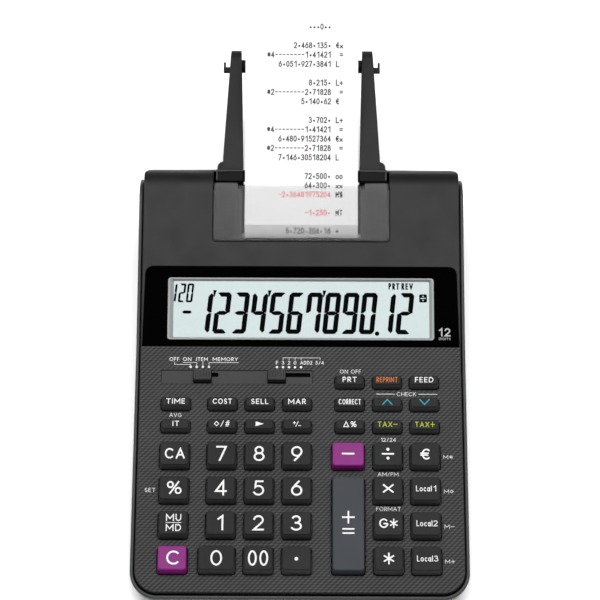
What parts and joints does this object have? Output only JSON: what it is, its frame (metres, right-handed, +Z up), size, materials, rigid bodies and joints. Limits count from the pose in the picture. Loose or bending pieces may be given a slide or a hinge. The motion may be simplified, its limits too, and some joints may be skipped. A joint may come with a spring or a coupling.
{
  "type": "desk calculator",
  "caption": "Printing desk calculator: sloped keyboard, slide switches, wide display, printer with a clear cover, and a paper roll on two rear arms.",
  "frame": {"origin": "on the table, under the middle of the box round the whole calculator with its arms and tape", "axes": "+X to the user's right, +Y from the front of the keyboard towards the paper roll, +Z up"},
  "size_m": [0.165, 0.3112, 0.1096],
  "materials": {
    "lower_shell": "fine satin moulding grain",
    "upper_shell": "charcoal with a fine diagonal embossed weave on the key deck",
    "window": "gloss",
    "lcd": "pale blue-green reflective display with black segments",
    "board": "solder mask",
    "membrane": "matte",
    "printer_steel": "satin",
    "holder": "satin",
    "paper": "matte",
    "drum": "satin",
    "platen_rubber": "matte",
    "ink_felt": "matte",
    "smoked_cover": "gloss",
    "switch_black": "satin",
    "key_black": "satin",
    "key_purple": "satin",
    "key_slate": "satin"
  },
  "bodies": {
    "case": {"lower_case": "lower_shell", "upper_case": "upper_shell", "display_window": "window", "lcd_panel": "lcd", "circuit_board": "board", "key_membrane": "membrane", "printer_frame": "printer_steel", "roll_holder": "holder", "paper_tape": "paper"},
    "printer_cover": {"printer_cover": "smoked_cover"},
    "paper_roll": {"paper_roll": "paper"},
    "feed_roller": {"feed_roller": "platen_rubber"},
    "print_drum": {"print_drum": "drum"},
    "ink_roller": {"ink_roller": "ink_felt"},
    "battery_cover": {"battery_cover": "lower_shell"},
    "knob_mode": {"knob_mode": "switch_black"},
    "knob_decimal": {"knob_decimal": "switch_black"},
    "key_clear_all": {"key_clear_all": "key_black"},
    "key_7": {"key_7": "key_black"},
    "key_8": {"key_8": "key_black"},
    "key_9": {"key_9": "key_black"},
    "key_minus": {"key_minus": "key_purple"},
    "key_divide": {"key_divide": "key_black"},
    "key_euro": {"key_euro": "key_black"},
    "key_percent": {"key_percent": "key_black"},
    "key_4": {"key_4": "key_black"},
    "key_5": {"key_5": "key_black"},
    "key_6": {"key_6": "key_black"},
    "key_plus_equals": {"key_plus_equals": "key_slate"},
    "key_multiply": {"key_multiply": "key_black"},
    "key_local_1": {"key_local_1": "key_black"},
    "key_markup": {"key_markup": "key_black"},
    "key_1": {"key_1": "key_black"},
    "key_2": {"key_2": "key_black"},
    "key_3": {"key_3": "key_black"},
    "key_grand_total": {"key_grand_total": "key_black"},
    "key_local_2": {"key_local_2": "key_black"},
    "key_clear": {"key_clear": "key_purple"},
    "key_0": {"key_0": "key_black"},
    "key_00": {"key_00": "key_black"},
    "key_point": {"key_point": "key_black"},
    "key_total": {"key_total": "key_black"},
    "key_local_3": {"key_local_3": "key_black"},
    "key_print_mode": {"key_print_mode": "key_black"},
    "key_reprint": {"key_reprint": "key_black"},
    "key_feed": {"key_feed": "key_black"},
    "key_time": {"key_time": "key_black"},
    "key_cost": {"key_cost": "key_black"},
    "key_sell": {"key_sell": "key_black"},
    "key_margin": {"key_margin": "key_black"},
    "key_correct": {"key_correct": "key_black"},
    "key_check_up": {"key_check_up": "key_black"},
    "key_check_down": {"key_check_down": "key_black"},
    "key_item": {"key_item": "key_black"},
    "key_subtotal": {"key_subtotal": "key_black"},
    "key_backspace": {"key_backspace": "key_black"},
    "key_sign": {"key_sign": "key_black"},
    "key_delta_percent": {"key_delta_percent": "key_black"},
    "key_tax_minus": {"key_tax_minus": "key_black"},
    "key_tax_plus": {"key_tax_plus": "key_black"}
  },
  "joints": [
    {"name": "slide_mode", "type": "slide", "parent": "case", "child": "knob_mode", "axis": [1, 0, 0], "range_m": [-0.00606, 0.00303]},
    {"name": "slide_decimal", "type": "slide", "parent": "case", "child": "knob_decimal", "axis": [1, 0, 0], "range_m": [0, 0.0121]},
    {"name": "open_printer_cover", "type": "hinge", "parent": "case", "child": "printer_cover", "pos_m": [0, 0.02711, 0.0444], "axis": [1, 0, 0], "range_deg": [0, 100]},
    {"name": "slide_battery_cover", "type": "slide", "parent": "case", "child": "battery_cover", "axis": [0, -1, 0], "range_m": [0, 0.004]},
    {"name": "spin_print_drum", "type": "hinge", "parent": "case", "child": "print_drum", "pos_m": [0, 0.021, 0.028], "axis": [1, 0, 0], "continuous": true},
    {"name": "spin_ink_roller", "type": "hinge", "parent": "case", "child": "ink_roller", "pos_m": [0, 0.0104, 0.0216], "axis": [1, 0, 0], "continuous": true},
    {"name": "spin_paper_roll", "type": "hinge", "parent": "case", "child": "paper_roll", "pos_m": [0, 0.12441, 0.056], "axis": [1, 0, 0], "continuous": true},
    {"name": "spin_feed_roller", "type": "hinge", "parent": "case", "child": "feed_roller", "pos_m": [0, 0.03691, 0.03], "axis": [1, 0, 0], "continuous": true},
    {"name": "press_clear_all", "type": "slide", "parent": "case", "child": "key_clear_all", "axis": [0, 0.1305, -0.9914], "range_m": [0, 0.0022], "stiffness_N_per_m": 250},
    {"name": "press_7", "type": "slide", "parent": "case", "child": "key_7", "axis": [0, 0.1305, -0.9914], "range_m": [0, 0.0022], "stiffness_N_per_m": 250},
    {"name": "press_8", "type": "slide", "parent": "case", "child": "key_8", "axis": [0, 0.1305, -0.9914], "range_m": [0, 0.0022], "stiffness_N_per_m": 250},
    {"name": "press_9", "type": "slide", "parent": "case", "child": "key_9", "axis": [0, 0.1305, -0.9914], "range_m": [0, 0.0022], "stiffness_N_per_m": 250},
    {"name": "press_minus", "type": "slide", "parent": "case", "child": "key_minus", "axis": [0, 0.1305, -0.9914], "range_m": [0, 0.0022], "stiffness_N_per_m": 250},
    {"name": "press_divide", "type": "slide", "parent": "case", "child": "key_divide", "axis": [0, 0.1305, -0.9914], "range_m": [0, 0.0022], "stiffness_N_per_m": 250},
    {"name": "press_euro", "type": "slide", "parent": "case", "child": "key_euro", "axis": [0, 0.1305, -0.9914], "range_m": [0, 0.0022], "stiffness_N_per_m": 250},
    {"name": "press_percent", "type": "slide", "parent": "case", "child": "key_percent", "axis": [0, 0.1305, -0.9914], "range_m": [0, 0.0022], "stiffness_N_per_m": 250},
    {"name": "press_4", "type": "slide", "parent": "case", "child": "key_4", "axis": [0, 0.1305, -0.9914], "range_m": [0, 0.0022], "stiffness_N_per_m": 250},
    {"name": "press_5", "type": "slide", "parent": "case", "child": "key_5", "axis": [0, 0.1305, -0.9914], "range_m": [0, 0.0022], "stiffness_N_per_m": 250},
    {"name": "press_6", "type": "slide", "parent": "case", "child": "key_6", "axis": [0, 0.1305, -0.9914], "range_m": [0, 0.0022], "stiffness_N_per_m": 250},
    {"name": "press_plus_equals", "type": "slide", "parent": "case", "child": "key_plus_equals", "axis": [0, 0.1305, -0.9914], "range_m": [0, 0.0022], "stiffness_N_per_m": 250},
    {"name": "press_multiply", "type": "slide", "parent": "case", "child": "key_multiply", "axis": [0, 0.1305, -0.9914], "range_m": [0, 0.0022], "stiffness_N_per_m": 250},
    {"name": "press_local_1", "type": "slide", "parent": "case", "child": "key_local_1", "axis": [0, 0.1305, -0.9914], "range_m": [0, 0.0022], "stiffness_N_per_m": 250},
    {"name": "press_markup", "type": "slide", "parent": "case", "child": "key_markup", "axis": [0, 0.1305, -0.9914], "range_m": [0, 0.0022], "stiffness_N_per_m": 250},
    {"name": "press_1", "type": "slide", "parent": "case", "child": "key_1", "axis": [0, 0.1305, -0.9914], "range_m": [0, 0.0022], "stiffness_N_per_m": 250},
    {"name": "press_2", "type": "slide", "parent": "case", "child": "key_2", "axis": [0, 0.1305, -0.9914], "range_m": [0, 0.0022], "stiffness_N_per_m": 250},
    {"name": "press_3", "type": "slide", "parent": "case", "child": "key_3", "axis": [0, 0.1305, -0.9914], "range_m": [0, 0.0022], "stiffness_N_per_m": 250},
    {"name": "press_grand_total", "type": "slide", "parent": "case", "child": "key_grand_total", "axis": [0, 0.1305, -0.9914], "range_m": [0, 0.0022], "stiffness_N_per_m": 250},
    {"name": "press_local_2", "type": "slide", "parent": "case", "child": "key_local_2", "axis": [0, 0.1305, -0.9914], "range_m": [0, 0.0022], "stiffness_N_per_m": 250},
    {"name": "press_clear", "type": "slide", "parent": "case", "child": "key_clear", "axis": [0, 0.1305, -0.9914], "range_m": [0, 0.0022], "stiffness_N_per_m": 250},
    {"name": "press_0", "type": "slide", "parent": "case", "child": "key_0", "axis": [0, 0.1305, -0.9914], "range_m": [0, 0.0022], "stiffness_N_per_m": 250},
    {"name": "press_00", "type": "slide", "parent": "case", "child": "key_00", "axis": [0, 0.1305, -0.9914], "range_m": [0, 0.0022], "stiffness_N_per_m": 250},
    {"name": "press_point", "type": "slide", "parent": "case", "child": "key_point", "axis": [0, 0.1305, -0.9914], "range_m": [0, 0.0022], "stiffness_N_per_m": 250},
    {"name": "press_total", "type": "slide", "parent": "case", "child": "key_total", "axis": [0, 0.1305, -0.9914], "range_m": [0, 0.0022], "stiffness_N_per_m": 250},
    {"name": "press_local_3", "type": "slide", "parent": "case", "child": "key_local_3", "axis": [0, 0.1305, -0.9914], "range_m": [0, 0.0022], "stiffness_N_per_m": 250},
    {"name": "press_print_mode", "type": "slide", "parent": "case", "child": "key_print_mode", "axis": [0, 0.1305, -0.9914], "range_m": [0, 0.0018], "stiffness_N_per_m": 250},
    {"name": "press_reprint", "type": "slide", "parent": "case", "child": "key_reprint", "axis": [0, 0.1305, -0.9914], "range_m": [0, 0.0018], "stiffness_N_per_m": 250},
    {"name": "press_feed", "type": "slide", "parent": "case", "child": "key_feed", "axis": [0, 0.1305, -0.9914], "range_m": [0, 0.0018], "stiffness_N_per_m": 250},
    {"name": "press_time", "type": "slide", "parent": "case", "child": "key_time", "axis": [0, 0.1305, -0.9914], "range_m": [0, 0.0018], "stiffness_N_per_m": 250},
    {"name": "press_cost", "type": "slide", "parent": "case", "child": "key_cost", "axis": [0, 0.1305, -0.9914], "range_m": [0, 0.0018], "stiffness_N_per_m": 250},
    {"name": "press_sell", "type": "slide", "parent": "case", "child": "key_sell", "axis": [0, 0.1305, -0.9914], "range_m": [0, 0.0018], "stiffness_N_per_m": 250},
    {"name": "press_margin", "type": "slide", "parent": "case", "child": "key_margin", "axis": [0, 0.1305, -0.9914], "range_m": [0, 0.0018], "stiffness_N_per_m": 250},
    {"name": "press_correct", "type": "slide", "parent": "case", "child": "key_correct", "axis": [0, 0.1305, -0.9914], "range_m": [0, 0.0018], "stiffness_N_per_m": 250},
    {"name": "press_check_up", "type": "slide", "parent": "case", "child": "key_check_up", "axis": [0, 0.1305, -0.9914], "range_m": [0, 0.0018], "stiffness_N_per_m": 250},
    {"name": "press_check_down", "type": "slide", "parent": "case", "child": "key_check_down", "axis": [0, 0.1305, -0.9914], "range_m": [0, 0.0018], "stiffness_N_per_m": 250},
    {"name": "press_item", "type": "slide", "parent": "case", "child": "key_item", "axis": [0, 0.1305, -0.9914], "range_m": [0, 0.0018], "stiffness_N_per_m": 250},
    {"name": "press_subtotal", "type": "slide", "parent": "case", "child": "key_subtotal", "axis": [0, 0.1305, -0.9914], "range_m": [0, 0.0018], "stiffness_N_per_m": 250},
    {"name": "press_backspace", "type": "slide", "parent": "case", "child": "key_backspace", "axis": [0, 0.1305, -0.9914], "range_m": [0, 0.0018], "stiffness_N_per_m": 250},
    {"name": "press_sign", "type": "slide", "parent": "case", "child": "key_sign", "axis": [0, 0.1305, -0.9914], "range_m": [0, 0.0018], "stiffness_N_per_m": 250},
    {"name": "press_delta_percent", "type": "slide", "parent": "case", "child": "key_delta_percent", "axis": [0, 0.1305, -0.9914], "range_m": [0, 0.0018], "stiffness_N_per_m": 250},
    {"name": "press_tax_minus", "type": "slide", "parent": "case", "child": "key_tax_minus", "axis": [0, 0.1305, -0.9914], "range_m": [0, 0.0018], "stiffness_N_per_m": 250},
    {"name": "press_tax_plus", "type": "slide", "parent": "case", "child": "key_tax_plus", "axis": [0, 0.1305, -0.9914], "range_m": [0, 0.0018], "stiffness_N_per_m": 250}
  ],
  "couplings": [
    {"joint": "spin_ink_roller", "follows": "spin_print_drum", "ratio": -1.4},
    {"joint": "spin_feed_roller", "follows": "spin_paper_roll", "ratio": 3}
  ]
}
